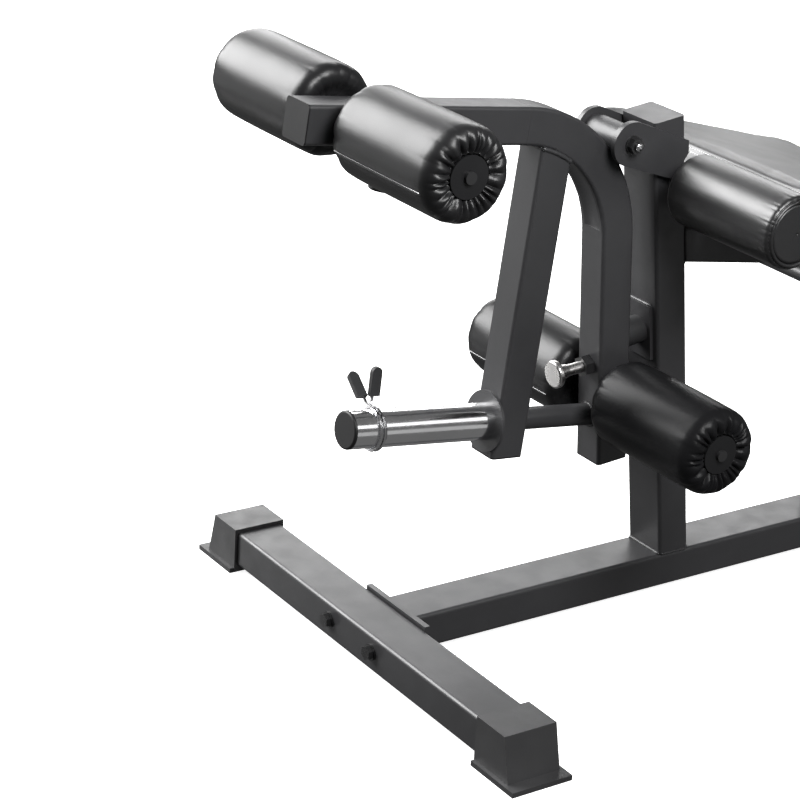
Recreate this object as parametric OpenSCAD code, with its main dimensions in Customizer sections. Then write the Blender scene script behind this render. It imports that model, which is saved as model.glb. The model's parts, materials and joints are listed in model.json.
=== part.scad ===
// Leg extension and hamstring machine with a weight-loaded lever.
// X runs from the front stabiliser (-X) to the rear one (+X), Y points to the far side, Z is up.
// The side with the knee roller is the near side (-Y).

/* [Frame] */
// Width of the frame tube, across its wide face
frame_w = 70; // [64:1:76]
// Depth of the frame tube, across its narrow face
frame_d = 50; // [44:1:56]
// Wall of every square and rectangular tube
wall = 3; // [2:0.5:4]
// Outside corner radius of every tube
corner_r = 5; // [3.5:0.5:7]
// Height of the tube underside above the floor
floor_gap = 11; // [8:1:16]
// Length of each stabiliser tube
stabiliser_l = 688; // [600:4:760]
// Distance between the two stabilisers, centre to centre
wheelbase = 1200; // [1180:5:1300]
// Front stabiliser centre to the foot of the upright
upright_x = 456; // [450:1:462]
// Length of the upright along its front face
upright_l = 636; // [632:1:640]
// Forward lean of the upright in degrees
upright_lean = 7.9; // [7.6:0.1:8.2]
// Downward slope of the bench beam to the rear in degrees
bench_slope = 8.8; // [8:0.1:9.5]
// Thickness of welded plates
plate_t = 8; // [5:0.5:9]

/* [Lever] */
// Side of the square lever tube
lever_w = 50; // [46:1:52]
// Centreline radius of the lever bend
bend_r = 182; // [176:1:188]
// Front-up tilt of the upper arm in degrees
arm_tilt = 6.5; // [5.5:0.1:7.5]
// Tilt of the lower leg from upright in degrees
leg_tilt = 4.75; // [4:0.05:5.5]
// Length of the upper arm from the corner of its centrelines
arm_l = 476; // [460:1:500]
// Length of the lower leg from the corner of its centrelines
leg_l = 473; // [460:1:490]
// Diameter of the pivot bolt
pivot_d = 12; // [10:1:14]
// Diameter of the pivot sleeve
pivot_sleeve_d = 42; // [40:1:44]
// Diameter of the weight sleeve
sleeve_d = 50; // [46:0.5:51]
// Length of the weight sleeve in front of its flange
sleeve_l = 215; // [200:1:216]
// Diameter of the flange behind the weight sleeve
flange_d = 82; // [76:1:92]
// Diameter of the cross bar between brace and leg
cross_bar_d = 30; // [24:1:34]

/* [Rollers] */
// Diameter of the four shin rollers
roller_d = 115; // [104:1:118]
// Length of a shin roller
roller_l = 202; // [180:2:220]
// Gap between the lever and the roller
roller_gap = 19; // [12:1:24]
// Diameter of the roller axles
axle_d = 20; // [16:1:22]
// Diameter of the end disc of a shin roller
disc_d = 52; // [46:1:58]
// Diameter of the knee roller
knee_d = 96; // [90:1:100]
// Length of the knee roller
knee_l = 200; // [160:2:240]
// Each way that a roller carriage slides
carriage_travel = 25; // [20:1:26]

/* [Seat and backrest] */
// Width of the seat
seat_w = 440; // [400:5:450]
// Width of the backrest pad
back_pad_w = 260; // [220:5:280]
// Thickness of the pads
pad_t = 52; // [46:1:54]
// Length of the seat pad
seat_l = 372; // [340:2:380]
// Downward slope of the seat to the rear in degrees
seat_slope = 14.5; // [13.5:0.1:14.8]
// Length of the backrest pad
back_l = 600; // [480:10:640]
// Backward lean of the backrest at its highest setting in degrees
back_lean = 15; // [15:1:20]
// Thickness of the boards under the pads
board_t = 12; // [9:1:14]

/* [Fits] */
// Radial running clearance of each shaft in its bore
run_fit = 0.1; // [0.04:0.01:0.1]
// Sliding clearance on each side of a roller carriage
slide_fit = 0.5; // [0.3:0.1:0.8]

/* [Hidden] */
$fn = 64;
seat_gap = 0.3;

// Blocks of this side cut pieces to a plane.
cut = 1200;

// Seat and its brackets.
bracket_t = 5;
bracket_l = 60;
bracket_w = 260;
bracket_in = 42;
bracket_out = 62;
screw_d = 6;
screw_head_d = 13;
screw_head_h = 4;
screw_l = 17;
screw_y = 100;
screw_seat = 0.1;
board_inset = 8;
board_corner_r = 22;

// Heights and faces of the floor frame.
tube_top = floor_gap + frame_d;
tube_mid = floor_gap + frame_d / 2;
beam_front_x = frame_w / 2 + plate_t;
beam_rear_x = wheelbase - frame_w / 2 - plate_t;
flange_half = frame_w / 2 + 34;
bolt_y = frame_w / 2 + 16;
bolt_z = tube_mid + 2;
bolt_d = 10;
bolt_af = 17;
bolt_head_h = 7;
bolt_nut_h = 10;
bolt_tail = 14;
washer_d = 22;
washer_t = 2;
hole_clear = 1;

// Feet.
foot_wall = 4;
foot_inner = 53;
foot_flare = 14;
foot_lip = 18;
foot_base_t = 7;
foot_rise = 5;
foot_side_lip = 6;

// Upright, with its front face on upright_x at the beam's top.
upright_mid_x = frame_d / 2 / cos(upright_lean);

// Lever: corner of the two centrelines, then everything along them.
corner_x = 322.3;
corner_z = 692.1;
turn = 90 - arm_tilt - leg_tilt;
bend_t = bend_r * tan(turn / 2);
bend_x = corner_x - bend_t * cos(arm_tilt) - bend_r * sin(arm_tilt);
bend_z = corner_z + bend_t * sin(arm_tilt) - bend_r * cos(arm_tilt);
arm_end_x = corner_x - arm_l * cos(arm_tilt);
groove_w = 32;
groove_depth = 0.6 * wall;
groove_end = 4;
lap = 1;
lap_step = 0.15;
plug_t = 2;
pivot_x = 327.4;
pivot_z = 673.4;
pivot_gap = 1.5;
pivot_half = frame_w / 2 - pivot_gap;
bush_od = 34;
bush_l = 18;
bush_flange_t = 1.2;
pivot_nut_af = 19;
pivot_nut_h = 10;
pivot_washer_d = 24;
pivot_tail = 14;
plate_nose_r = 29.5;
plate_tail = [[94, -5], [95.5, -22], [74, -55]];
upper_axle_u = 398;
lower_axle_u = 377.5;
upper_pin_in = 60;
lower_pin_in = 44;
pin_d = 10;
pin_travel = 14;
pin_boss_l = 14;
pin_boss_af = 25;
pin_reach = 61;
knob_d = 38;
knob_t = 9;
shank_d = 16;

// Brace and weight sleeve.
brace_x = 190.1;
brace_z = 349.5;
brace_tilt = 5.7;
brace_low_z = 260;
sleeve_tilt = 7.2;
sleeve_front_x = -56.7;
sleeve_front_z = 333.6;
flange_t = 8;
sleeve_wall = 3;
cap_t = 4;
cap_edge = 3;
cap_stem = 22;

// Stop on the upright.
stop_z = 397;
stop_t = 5;
stop_h = 78;
stop_w = 50;
bumper_d = 38;
bumper_l = 60;
bumper_gap = 0.05;
stud_d = 8.4;

// Bench, with its rear pieces placed from the rear end of the seat.
bench_x = 459.8;
bench_z = 492.4;
seat_x = 476;
seat_top_z = 644.7;
seat_to_hinge = 26;
hinge_over = 24.3;
hinge_x = seat_x + seat_l * cos(seat_slope) + seat_to_hinge;
hinge_z = bench_z - (hinge_x - bench_x) * tan(bench_slope) + frame_d / cos(bench_slope)
  + hinge_over;
bench_end_x = hinge_x - 12;
post_x = hinge_x - 57;
hinge_d = 12;
hinge_af = 19;
hinge_head_h = 8;
hinge_nut_h = 10;
hinge_sleeve_d = 30;
hinge_plate_t = 6;
hinge_plate_r = 24;
hinge_plate_neck = 46;
hinge_plate_reach = 72;
hinge_plate_drop = 66;
back_w = 50;
back_pad_u = 70;
sector_hole_r = 60;
sector_r = 74;
back_steps = 5;
back_step = 15;
back_tube_l = 560;
sector_ear_y = frame_w / 2 + hinge_plate_t + 1.5;
ear_t = 6;
ear_half = 14;
ear_l = 74;
ear_bridge_l = 38;
back_barrel_d = 20;
back_barrel_l = 20;
back_pin_grip_l = 18;
back_pin_knob_t = 10;
knee_x = 413;
knee_z = 612;
knee_in = 70;
handle_x = hinge_x - 110;
handle_z = 405;
handle_d = 25;
handle_half = 270;
handle_bend = 40;
handle_stub_d = 20;
handle_rise = 125;
grip_d = 33;
grip_l = 86;
grip_over = 4;

// Spring collar on the sleeve.
collar_u = 38.5;
collar_turn = 30;
wire_d = 4.5;
coil_pitch = 5.4;
coil_turns = 2;

// Overall ends in X, used to centre the model.
front_x = arm_end_x - (lever_w / 2) * sin(arm_tilt) - plug_t * cos(arm_tilt);
rear_x = wheelbase + frame_w / 2 + foot_wall + foot_side_lip;
x_shift = -(front_x + rear_x) / 2;

// Points and frames.
module place(x, z, tilt = 0) {
  translate([x + x_shift, 0, z]) rotate([0, tilt, 0]) children();
}

module on_arm(u) {
  place(corner_x - u * cos(arm_tilt), corner_z + u * sin(arm_tilt), arm_tilt) children();
}

module on_leg(u) {
  place(corner_x + u * sin(leg_tilt), corner_z - u * cos(leg_tilt), -leg_tilt) children();
}

module on_upright(u) {
  x = upright_x - u * sin(upright_lean);
  z = tube_top + u * cos(upright_lean);
  place(x, z, -upright_lean) translate([frame_d / 2, 0, 0]) children();
}

module on_bench(u) {
  x = bench_x + u * cos(bench_slope);
  z = bench_z - u * sin(bench_slope);
  place(x, z, bench_slope) translate([0, 0, frame_d / 2]) children();
}

module on_seat(u) {
  x = seat_x + u * cos(seat_slope);
  z = seat_top_z - u * sin(seat_slope);
  place(x, z, seat_slope) children();
}

module on_back(u) {
  place(hinge_x, hinge_z, back_lean) translate([0, 0, u]) children();
}

module on_sleeve(u) {
  x = sleeve_front_x + u * cos(sleeve_tilt);
  z = sleeve_front_z - u * sin(sleeve_tilt);
  place(x, z, 90 + sleeve_tilt) children();
}

module on_brace() {
  place(brace_x, brace_z, brace_tilt) children();
}

// Blocks that cut a piece to a plane: under it, before it or behind it.
module under() {
  translate([-cut / 2, -cut / 2, -cut]) cube(cut);
}

module before() {
  rotate([0, 90, 0]) under();
}

module behind() {
  rotate([0, -90, 0]) under();
}

// Shapes.
module rounded(a, b, r) {
  square([a - 2 * r, b], center = true);
  square([a, b - 2 * r], center = true);
  for (sx = [-1, 1], sy = [-1, 1])
    translate([sx * (a / 2 - r), sy * (b / 2 - r)]) circle(r, $fn = 48);
}

module tube_section(a, b) {
  difference() {
    rounded(a, b, corner_r);
    rounded(a - 2 * wall, b - 2 * wall, corner_r - wall / 2);
  }
}

module tube(a, b, l) {
  linear_extrude(l) tube_section(a, b);
}

module along_y(d, y0, y1) {
  translate([0, y0, 0]) rotate([-90, 0, 0]) cylinder(d = d, h = y1 - y0);
}

module ring_y(d, bore, y0, y1) {
  difference() {
    along_y(d, y0, y1);
    along_y(bore, y0 - 1, y1 + 1);
  }
}

module hex(af, h) {
  cylinder(d = af / cos(30), h = h, $fn = 6);
}

// Floor frame.
module stabiliser_tube(x, side) {
  difference() {
    place(x, tube_mid) translate([0, -stabiliser_l / 2, 0]) rotate([-90, 0, 0])
      tube(frame_w, frame_d, stabiliser_l);
    for (s = [-1, 1])
      place(x, bolt_z) translate([0, s * bolt_y, 0]) rotate([0, 90, 0])
        cylinder(d = bolt_d + hole_clear, h = frame_w + 4, center = true);
  }
}

module front_stabiliser() {
  color("dimgray") stabiliser_tube(0);
}

module rear_stabiliser() {
  color("dimgray") stabiliser_tube(wheelbase);
}

module foot() {
  top = tube_top + foot_rise;
  end = stabiliser_l / 2 + foot_wall;
  inner = end - foot_inner - foot_wall;
  half = frame_w / 2 + foot_wall;
  difference() {
    union() {
      translate([half, 0, 0]) rotate([0, -90, 0]) linear_extrude(2 * half)
        polygon([[1, inner], [top, inner], [top, end], [foot_base_t, end + foot_flare],
          [1, end + foot_flare]]);
      translate([-half - foot_side_lip, inner + 2, 0])
        cube([2 * (half + foot_side_lip), end - inner + foot_flare + foot_lip - 2, foot_base_t]);
    }
    translate([0, inner - 1, tube_mid]) rotate([-90, 0, 0])
      linear_extrude(stabiliser_l / 2 - inner + 1 + seat_gap)
        rounded(frame_w + 2 * seat_gap, frame_d + 2 * seat_gap, corner_r);
  }
}

module feet(x) {
  place(x, 0) foot();
  place(x, 0) mirror([0, 1, 0]) foot();
}

module front_feet() {
  color("black") feet(0);
}

module rear_feet() {
  color("black") feet(wheelbase);
}

module floor_beam() {
  color("dimgray") place(beam_front_x, tube_mid, 90)
    tube(frame_d, frame_w, beam_rear_x - beam_front_x);
}

module mounting_flange() {
  difference() {
    translate([0, -flange_half, floor_gap])
      cube([plate_t, 2 * flange_half, frame_d + 4]);
    for (s = [-1, 1])
      translate([-1, s * bolt_y, bolt_z]) rotate([0, 90, 0])
        cylinder(d = bolt_d + hole_clear, h = plate_t + 2);
  }
}

module mounting_flanges() {
  color("dimgray") {
    place(frame_w / 2, 0) mounting_flange();
    place(beam_rear_x, 0) mounting_flange();
  }
}

// Bolt along +X with its head outside the stabiliser, and its nut behind the flange.
module frame_bolt() {
  grip = frame_w + plate_t;
  rotate([0, 90, 0]) {
    translate([0, 0, -washer_t - bolt_head_h]) hex(bolt_af, bolt_head_h);
    translate([0, 0, -washer_t]) cylinder(d = washer_d, h = washer_t);
    translate([0, 0, -washer_t]) cylinder(d = bolt_d, h = grip + bolt_tail);
  }
}

module frame_nut() {
  rotate([0, 90, 0]) difference() {
    union() {
      cylinder(d = washer_d, h = washer_t);
      hex(bolt_af, bolt_nut_h);
    }
    translate([0, 0, -1]) cylinder(d = bolt_d, h = bolt_nut_h + 2);
  }
}

module frame_bolts() {
  color("black") for (s = [-1, 1]) {
    place(-frame_w / 2, bolt_z) translate([0, s * bolt_y, 0]) frame_bolt();
    place(frame_w / 2 + plate_t, bolt_z) translate([0, s * bolt_y, 0]) frame_nut();
    place(wheelbase + frame_w / 2, bolt_z) translate([0, s * bolt_y, 0])
      mirror([1, 0, 0]) frame_bolt();
    place(beam_rear_x, bolt_z) translate([0, s * bolt_y, 0]) mirror([1, 0, 0]) frame_nut();
  }
}

// Upright and what is welded to it.
module upright() {
  color("dimgray") difference() {
    on_upright(-20) tube(frame_d, frame_w, upright_l + 20);
    place(upright_x, tube_top) under();
    place(knee_x, knee_z) along_y(axle_d, -frame_w, frame_w);
  }
}

module upright_cap() {
  color("dimgray") on_upright(upright_l) {
    linear_extrude(3) rounded(frame_d, frame_w, corner_r);
    translate([0, 0, -12]) linear_extrude(12)
      rounded(frame_d - 2 * wall - 0.4, frame_w - 2 * wall - 0.4, corner_r - wall / 2);
  }
}

// Plate in X and Z about the pivot: a round nose with tangents to a tail on the upright's side.
module pivot_plate(s) {
  nose = plate_nose_r;
  top = plate_tail[0];
  low = plate_tail[2];
  top_a = atan2(top[1], top[0]) + acos(nose / norm(top));
  low_a = 360 + atan2(low[1], low[0]) - acos(nose / norm(low));
  arc = [for (i = [0 : 36]) let (a = top_a + i * (low_a - top_a) / 36) nose * [cos(a), sin(a)]];
  place(pivot_x, pivot_z) translate([0, s * (frame_w / 2 + plate_t / 2), 0])
    rotate([90, 0, 0]) difference() {
      linear_extrude(plate_t, center = true) polygon(concat(arc, [low, plate_tail[1], top]));
      cylinder(d = pivot_d + 0.6, h = plate_t + 2, center = true);
    }
}

module pivot_plate_near() {
  color("dimgray") pivot_plate(-1);
}

module pivot_plate_far() {
  color("dimgray") pivot_plate(1);
}

module pivot_bolt() {
  face = frame_w / 2 + plate_t;
  color("black") place(pivot_x, pivot_z) {
    union() {
      along_y(pivot_d, -face - pivot_tail, face + 1);
      translate([0, face + 1, 0]) rotate([-90, 0, 0]) hex(pivot_nut_af, pivot_nut_h);
      along_y(pivot_washer_d, face, face + washer_t);
    }
    difference() {
      union() {
        along_y(pivot_washer_d, -face - washer_t, -face);
        translate([0, -face - 1, 0]) rotate([90, 0, 0]) hex(pivot_nut_af, pivot_nut_h);
      }
      along_y(pivot_d, -face - pivot_tail - 1, -face + 1);
    }
  }
}

// Front face of the upright at the stop, with its plate and rubber bumper.
module on_stop() {
  on_upright((stop_z - tube_top) / cos(upright_lean)) translate([-frame_d / 2, 0, 0])
    children();
}

module stop_plate() {
  color("dimgray") on_stop() difference() {
    translate([-stop_t, -stop_w / 2, -stop_h / 2]) cube([stop_t, stop_w, stop_h]);
    translate([-stop_t - 1, 0, 0]) rotate([0, 90, 0]) cylinder(d = stud_d, h = stop_t + 2);
  }
}

module stop_bumper() {
  color("black") difference() {
    on_stop() union() {
      translate([-stop_t - bumper_l, 0, 0]) rotate([0, 90, 0])
        cylinder(d = bumper_d, h = bumper_l);
      translate([-stop_t - 1, 0, 0]) rotate([0, 90, 0]) cylinder(d = stud_d, h = stop_t + 1);
    }
    on_leg(0) translate([lever_w / 2 + bumper_gap, 0, 0]) before();
  }
}

// Bench beam, cut to the upright's rear face, and the rear post cut to the beam.
module bench_beam() {
  l = (bench_end_x - bench_x) / cos(bench_slope) + 60;
  color("dimgray") difference() {
    on_bench(-60) rotate([0, 90, 0]) tube(frame_d, frame_w, l);
    on_upright(upright_l / 2) translate([frame_d / 2, 0, 0]) before();
  }
}

module rear_post() {
  color("dimgray") difference() {
    place(post_x, tube_top) tube(frame_d, frame_w, bench_z - tube_top);
    on_bench(0) translate([0, 0, cut - frame_d / 2]) under();
  }
}

module bench_plug() {
  l = (bench_end_x - bench_x) / cos(bench_slope);
  color("black") on_bench(l) rotate([0, 90, 0]) mirror([0, 0, 1]) frame_plug(frame_d, frame_w);
}

// Plug with its head at -Z and its stem along +Z.
module frame_plug(a, b) {
  translate([0, 0, -plug_t]) linear_extrude(plug_t) rounded(a, b, corner_r);
  translate([0, 0, -0.1]) linear_extrude(14)
    rounded(a - 2 * wall - 0.2, b - 2 * wall - 0.2, corner_r - wall / 2);
}

// Seat: two channel brackets with wide tops, a board and a cushion.
module seat_bracket(u) {
  h = seat_top_z - bench_z;
  difference() {
    on_seat(u) translate([0, 0, -pad_t - board_t]) {
      translate([0, -frame_w / 2, -h]) cube([bracket_l, frame_w, h]);
      translate([0, -bracket_w / 2, -bracket_t]) cube([bracket_l, bracket_w, bracket_t]);
    }
    on_seat(u) translate([-1, -frame_w / 2 + bracket_t, -pad_t - board_t - bracket_t - h])
      cube([bracket_l + 2, frame_w - 2 * bracket_t, h]);
    on_bench(0) translate([0, 0, frame_d / 2]) under();
  }
}

bracket_us = [bracket_in, seat_l - bracket_out - bracket_l];

module seat_brackets() {
  color("dimgray") difference() {
    for (u = bracket_us) seat_bracket(u);
    screw_holes();
  }
}

// The seat's screws stand on these points, heads under the brackets.
module at_screws() {
  for (u = bracket_us, s = [-1, 1])
    on_seat(u + bracket_l / 2)
      translate([0, s * screw_y, -pad_t - board_t - bracket_t - screw_head_h]) children();
}

module screw_holes() {
  at_screws() cylinder(d = screw_d + 0.4, h = screw_l + 1);
}

module seat_board() {
  color("peru") difference() {
    on_seat(seat_l / 2) translate([0, 0, -pad_t - board_t]) linear_extrude(board_t)
      rounded(seat_l - 2 * board_inset, seat_w - 2 * board_inset, board_corner_r);
    screw_holes();
  }
}

// Cushion with a crowned top, drawn-in sides and a soft edge.
module cushion(l, w, t) {
  edge = 30;
  skin = 0.1;
  sides = [[6, -t, skin], [0, -0.66 * t, 0.34 * t], [3, -0.16 * t, skin], [9, -3, skin]];
  crown = [[0.5, 0.36, -1.2], [0.36, 0.34, -1.4], [0.64, 0.34, -1.4], [0.5, 0.14, -skin]];
  hull() {
    for (s = sides, x = [edge, l - edge], y = [-w / 2 + edge, w / 2 - edge])
      translate([x, y, s[1]]) cylinder(r = edge - s[0], h = s[2], $fn = 32);
    for (c = crown)
      translate([l * c[0], 0, c[2]]) cylinder(r = min(w, l) * c[1], h = skin, $fn = 32);
  }
}

module seat_pad() {
  color("black") on_seat(0) cushion(seat_l, seat_w, pad_t - seat_gap);
}

module seat_screws() {
  color("silver") at_screws() {
    cylinder(d = screw_head_d, h = screw_head_h - screw_seat);
    cylinder(d = screw_d, h = screw_l);
  }
}

// Knee roller on the near side only, on an axle through the upright.
module knee_axle() {
  color("dimgray") place(knee_x, knee_z) along_y(axle_d, -knee_in - knee_l + 26, frame_w / 2 + 4);
}

module knee_hub() {
  color("black") place(knee_x, knee_z)
    ring_y(axle_d + 9, axle_d + 2 * run_fit, -knee_in - knee_l + 24, -knee_in + 2);
}

module knee_pad() {
  r = knee_d / 2;
  bore = (axle_d + 9) / 2 + 0.05;
  soft = 9;
  color("black") place(knee_x, knee_z) rotate([90, 0, 0]) translate([0, 0, knee_in])
    rotate_extrude($fn = 96) difference() {
      union() {
        translate([0, soft]) square([r, knee_l - 2 * soft]);
        square([r - soft, knee_l]);
        translate([r - soft, soft]) circle(soft);
        translate([r - soft, knee_l - soft]) circle(soft);
      }
      translate([-bore, -1]) square([2 * bore, knee_l - 21]);
      translate([-2 * r, -1]) square([2 * r, knee_l + 2]);
    }
}

// Handles: one cross tube in front of the rear post, turned up on both sides.
module handle_bar() {
  straight = handle_half - handle_bend;
  color("dimgray") place(handle_x, handle_z) {
    along_y(handle_d, -straight, straight);
    for (s = [0, 1]) mirror([0, s, 0]) {
      translate([0, straight, handle_bend]) rotate([90, 0, 90]) rotate([0, 0, -90])
        rotate_extrude(angle = 90) translate([handle_bend, 0]) circle(d = handle_d);
      translate([0, handle_half, handle_bend])
        cylinder(d = handle_d, h = handle_rise - handle_bend);
    }
    rotate([0, 90, 0])
      cylinder(d = handle_stub_d, h = post_x - frame_d / 2 - handle_x);
  }
}

module handle_grips() {
  color("black") for (s = [-1, 1])
    place(handle_x, handle_z) translate([0, s * handle_half, 0]) difference() {
      translate([0, 0, handle_rise - grip_l + grip_over]) cylinder(d = grip_d, h = grip_l);
      cylinder(d = handle_d, h = handle_rise);
    }
}

// Backrest hinge on the end of the bench beam: a plain plate and a holed sector.
module hinge_arm_outline() {
  circle(hinge_plate_r, $fn = 96);
  r = hinge_plate_r;
  rotate(-bench_slope) polygon([[0, -r], [0, 0], [-r * cos(30), r * sin(30)],
    [-hinge_plate_neck, -r + 2], [-hinge_plate_reach, -r + 2],
    [-hinge_plate_reach, -hinge_plate_drop], [-r + 2, -hinge_plate_drop]]);
}

module hinge_plate() {
  color("dimgray") place(hinge_x, hinge_z) translate([0, -frame_w / 2, 0]) rotate([90, 0, 0])
    linear_extrude(hinge_plate_t) difference() {
      hinge_arm_outline();
      circle(d = hinge_d + 0.4);
    }
}

module sector_outline() {
  first = 90 - back_lean;
  last = first - back_steps * back_step;
  intersection() {
    circle(sector_r, $fn = 96);
    polygon(concat([[0, 0]], [for (a = [last - 9 : 3 : first + 9])
      [2 * sector_r * cos(a), 2 * sector_r * sin(a)]]));
  }
}

// Arc slot of the backrest pin, with a wider round seat at each setting.
module sector_slot() {
  first = 90 - back_lean;
  sweep = back_steps * back_step;
  half = pin_d / 2 + run_fit;
  intersection() {
    difference() {
      circle(sector_hole_r + half, $fn = 144);
      circle(sector_hole_r - half, $fn = 144);
    }
    polygon([for (k = [0 : 6])
      k == 0 ? [0, 0] : 2 * sector_r * [cos(first - (k - 1) * sweep / 5),
        sin(first - (k - 1) * sweep / 5)]]);
  }
  for (i = [0 : back_steps])
    rotate(first - i * back_step) translate([sector_hole_r, 0]) circle(d = pin_d + 3);
}

module sector_plate() {
  color("dimgray") place(hinge_x, hinge_z) translate([0, frame_w / 2 + hinge_plate_t, 0])
    rotate([90, 0, 0]) linear_extrude(hinge_plate_t) difference() {
      union() {
        hinge_arm_outline();
        sector_outline();
      }
      circle(d = hinge_d + 0.4);
      sector_slot();
    }
}

module hinge_bolt() {
  face = frame_w / 2 + hinge_plate_t;
  color("black") place(hinge_x, hinge_z) {
    union() {
      along_y(hinge_d, -face - hinge_nut_h - 2, face + 1);
      translate([0, face, 0]) rotate([-90, 0, 0]) hex(hinge_af, hinge_head_h);
    }
    difference() {
      translate([0, -face, 0]) rotate([90, 0, 0]) hex(hinge_af, hinge_nut_h);
      along_y(hinge_d, -face - hinge_nut_h - 3, -face + 1);
    }
  }
}

// Lever.
module on_bend(a) {
  translate([bend_x + x_shift, 0, bend_z]) rotate([90, 0, 0]) rotate([0, 0, a]) children();
}

module lever_bend() {
  on_bend(leg_tilt) rotate_extrude(angle = turn, $fn = 180) translate([bend_r, 0]) children();
}

// Straight leg below the bend, and straight arm in front of it, which laps just inside the wall.
module lever_leg(l) {
  on_bend(leg_tilt) translate([bend_r, 0, 0]) rotate([90, 0, 0]) linear_extrude(l)
    tube_section(lever_w, lever_w);
}

module lever_arm(l) {
  inner = lever_w - 2 * wall + 2 * lap_step;
  on_bend(leg_tilt + turn) translate([bend_r, l, 0]) rotate([90, 0, 0])
    linear_extrude(l + lap) difference() {
      rounded(lever_w - 2 * lap_step, lever_w - 2 * lap_step, corner_r);
      rounded(inner, inner, corner_r - wall / 2);
    }
}

module slot(axis_half) {
  w = axle_d + 2;
  for (s = [-1, 1]) translate([0, 0, s * axis_half]) along_y(w, -lever_w, lever_w);
  cube([w, 2 * lever_w, 2 * axis_half], center = true);
}

// Shallow groove that bending leaves along the inner wall.
module bend_groove() {
  r = (groove_w * groove_w / 4 + groove_depth * groove_depth) / (2 * groove_depth);
  on_bend(leg_tilt + groove_end) rotate_extrude(angle = turn - 2 * groove_end, $fn = 180)
    translate([bend_r - lever_w / 2 + groove_depth - r, 0]) circle(r, $fn = 180);
}

module lever_tube() {
  color("dimgray") difference() {
    union() {
      lever_bend() tube_section(lever_w, lever_w);
      lever_arm(arm_l - bend_t);
      lever_leg(leg_l - bend_t);
    }
    bend_groove();
    on_arm(upper_axle_u) rotate([0, 90, 0]) slot(carriage_travel);
    on_leg(lower_axle_u) slot(carriage_travel);
    on_arm(upper_axle_u - upper_pin_in) translate([0, 0, -lever_w / 2 - 1])
      cylinder(d = pin_d + 2 * run_fit, h = wall + 4);
    on_leg(lower_axle_u - lower_pin_in) translate([-lever_w / 2 - 1, 0, 0]) rotate([0, 90, 0])
      cylinder(d = pin_d + 2 * run_fit, h = wall + 4);
  }
}

module pivot_sleeve() {
  color("dimgray") difference() {
    place(pivot_x, pivot_z) ring_y(pivot_sleeve_d, bush_od, -pivot_half + bush_flange_t,
      pivot_half - bush_flange_t);
    lever_bend() rounded(lever_w, lever_w, corner_r);
  }
}

module pivot_bushes() {
  inner = pivot_half - bush_flange_t;
  color("ivory") for (s = [0, 1]) place(pivot_x, pivot_z) mirror([0, s, 0]) difference() {
    union() {
      along_y(bush_od, inner - bush_l, inner);
      along_y(bush_od + 5, inner, pivot_half);
    }
    along_y(pivot_d + 2 * run_fit, inner - bush_l - 1, pivot_half + 1);
  }
}

module brace_solid() {
  low = (brace_low_z - brace_z) / cos(brace_tilt);
  high = (bend_z + bend_r - brace_z) / cos(brace_tilt);
  on_brace() translate([0, 0, low]) tube(lever_w, lever_w, high - low);
}

module brace() {
  color("dimgray") intersection() {
    brace_solid();
    union() {
      place(bend_x, bend_z) along_y(2 * bend_r - lever_w, -lever_w, lever_w);
      place(brace_x, bend_z) under();
    }
  }
}

// Cross bar, flange and weight sleeve on one axis.
module cross_bar() {
  color("dimgray") difference() {
    on_sleeve(sleeve_l) cylinder(d = cross_bar_d, h = leg_l / 2);
    on_brace() translate([lever_w / 2, 0, 0]) before();
    on_leg(leg_l) translate([-lever_w / 2, 0, 0]) behind();
  }
}

module sleeve_flange() {
  color("dimgray") difference() {
    on_sleeve(sleeve_l) cylinder(d = flange_d, h = 2 * flange_t);
    on_brace() translate([-lever_w / 2, 0, 0]) behind();
  }
}

module weight_sleeve() {
  color("silver") on_sleeve(0) difference() {
    cylinder(d = sleeve_d, h = sleeve_l);
    translate([0, 0, -1]) cylinder(d = sleeve_d - 2 * sleeve_wall, h = sleeve_l + 2);
  }
}

module sleeve_cap() {
  r = sleeve_d / 2;
  color("black") on_sleeve(0) {
    rotate_extrude() union() {
      translate([0, -cap_t]) square([r - cap_edge, cap_t - 0.1]);
      translate([0, cap_edge - cap_t]) square([r, cap_t - cap_edge - 0.1]);
      intersection() {
        translate([r - cap_edge, cap_edge - cap_t]) circle(cap_edge);
        translate([0, -cap_t]) square([r, cap_edge]);
      }
    }
    translate([0, 0, -0.2]) cylinder(d = sleeve_d - 2 * sleeve_wall - 0.2, h = cap_stem);
  }
}

module lever_plugs() {
  low = (brace_low_z - brace_z) / cos(brace_tilt);
  color("black") {
    on_arm(arm_l) rotate([0, 90, 0]) frame_plug(lever_w, lever_w);
    on_leg(leg_l) frame_plug(lever_w, lever_w);
    on_brace() translate([0, 0, low]) frame_plug(lever_w, lever_w);
  }
}

// Hexagonal boss with the pin's bore, its axis on +Z and its foot at zero.
module pin_boss() {
  difference() {
    hex(pin_boss_af, pin_boss_l);
    translate([0, 0, -1]) cylinder(d = pin_d + 2 * run_fit, h = pin_boss_l + 2);
  }
}

module upper_pin_axis() {
  on_arm(upper_axle_u - upper_pin_in) translate([0, 0, -lever_w / 2]) rotate([180, 0, 0])
    children();
}

module lower_pin_axis() {
  on_leg(lower_axle_u - lower_pin_in) translate([-lever_w / 2, 0, 0]) rotate([0, -90, 0])
    children();
}

module pin_barrels() {
  color("black") {
    upper_pin_axis() pin_boss();
    lower_pin_axis() pin_boss();
  }
}

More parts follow.
